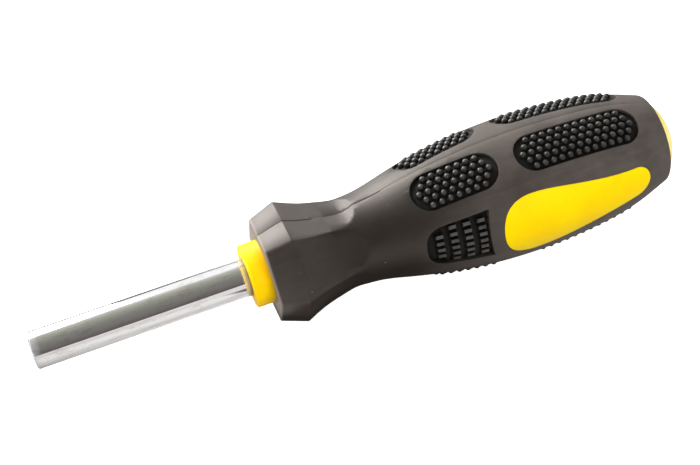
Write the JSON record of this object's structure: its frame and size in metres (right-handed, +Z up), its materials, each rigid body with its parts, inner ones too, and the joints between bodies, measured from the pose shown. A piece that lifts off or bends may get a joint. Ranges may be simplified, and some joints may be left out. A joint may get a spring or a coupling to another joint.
{
  "type": "magnetic bit screwdriver",
  "caption": "Screwdriver with a magnetic hexagon bit socket in a chromed shank, a ribbed and nubbed soft grip, and spare bits stored under a pull-off end cap.",
  "frame": {"origin": "centre of the bit socket's mouth, at the free end of the shank", "axes": "+X runs from the mouth along the tool to the end cap, +Z up through one flat of the bolster, -Y towards one medallion"},
  "size_m": [0.177, 0.0369, 0.0368],
  "materials": {
    "chromed_steel": "bright polished chrome plate on turned steel",
    "nickelled_magnet": "nickel-plated magnet",
    "yellow_polypropylene": "moulded, half gloss, deep yellow",
    "black_rubber": "moulded soft grip, matte dark grey, dusty",
    "black_insert_rubber": "moulded soft insert, black, slight sheen on the nubs",
    "yellow_inlay": "smooth moulded inlay, bright yellow, half gloss",
    "pale_yellow_cap": "moulded, paler yellow, half gloss",
    "grey_plastic": "moulded, dark grey",
    "bit_steel": "blasted tool steel, satin grey"
  },
  "bodies": {
    "handle": {"shank": "chromed_steel", "socket_magnet": "nickelled_magnet", "handle_core": "yellow_polypropylene", "grip_sleeve": "black_rubber", "comb_near": "black_insert_rubber", "comb_far": "black_insert_rubber", "medallion_near": "yellow_inlay", "medallion_far": "yellow_inlay", "bit_rack": "grey_plastic", "front_pad_1": "black_insert_rubber", "front_pad_2": "black_insert_rubber", "front_pad_3": "black_insert_rubber", "front_pad_4": "black_insert_rubber", "rear_pad_1": "black_insert_rubber", "rear_pad_2": "black_insert_rubber", "rear_pad_3": "black_insert_rubber", "rear_pad_4": "black_insert_rubber"},
    "cap": {"end_cap": "pale_yellow_cap"},
    "bit_cross_large_body": {"bit_cross_large": "bit_steel"},
    "bit_cross_small_body": {"bit_cross_small": "bit_steel"},
    "bit_blade_wide_body": {"bit_blade_wide": "bit_steel"},
    "bit_blade_narrow_body": {"bit_blade_narrow": "bit_steel"}
  },
  "joints": [
    {"name": "cap_slide", "type": "slide", "parent": "handle", "child": "cap", "axis": [1, 0, 0], "range_m": [0, 0.06]},
    {"name": "bit_cross_large_slide", "type": "slide", "parent": "handle", "child": "bit_cross_large_body", "axis": [1, 0, 0], "range_m": [0, 0.045]},
    {"name": "bit_cross_small_slide", "type": "slide", "parent": "handle", "child": "bit_cross_small_body", "axis": [1, 0, 0], "range_m": [0, 0.045]},
    {"name": "bit_blade_wide_slide", "type": "slide", "parent": "handle", "child": "bit_blade_wide_body", "axis": [1, 0, 0], "range_m": [0, 0.045]},
    {"name": "bit_blade_narrow_slide", "type": "slide", "parent": "handle", "child": "bit_blade_narrow_body", "axis": [1, 0, 0], "range_m": [0, 0.045]}
  ],
  "couplings": [
    {"joint": "bit_cross_large_slide", "follows": "cap_slide", "ratio": 0.75},
    {"joint": "bit_cross_small_slide", "follows": "cap_slide", "ratio": 0.75},
    {"joint": "bit_blade_wide_slide", "follows": "cap_slide", "ratio": 0.75},
    {"joint": "bit_blade_narrow_slide", "follows": "cap_slide", "ratio": 0.75}
  ]
}
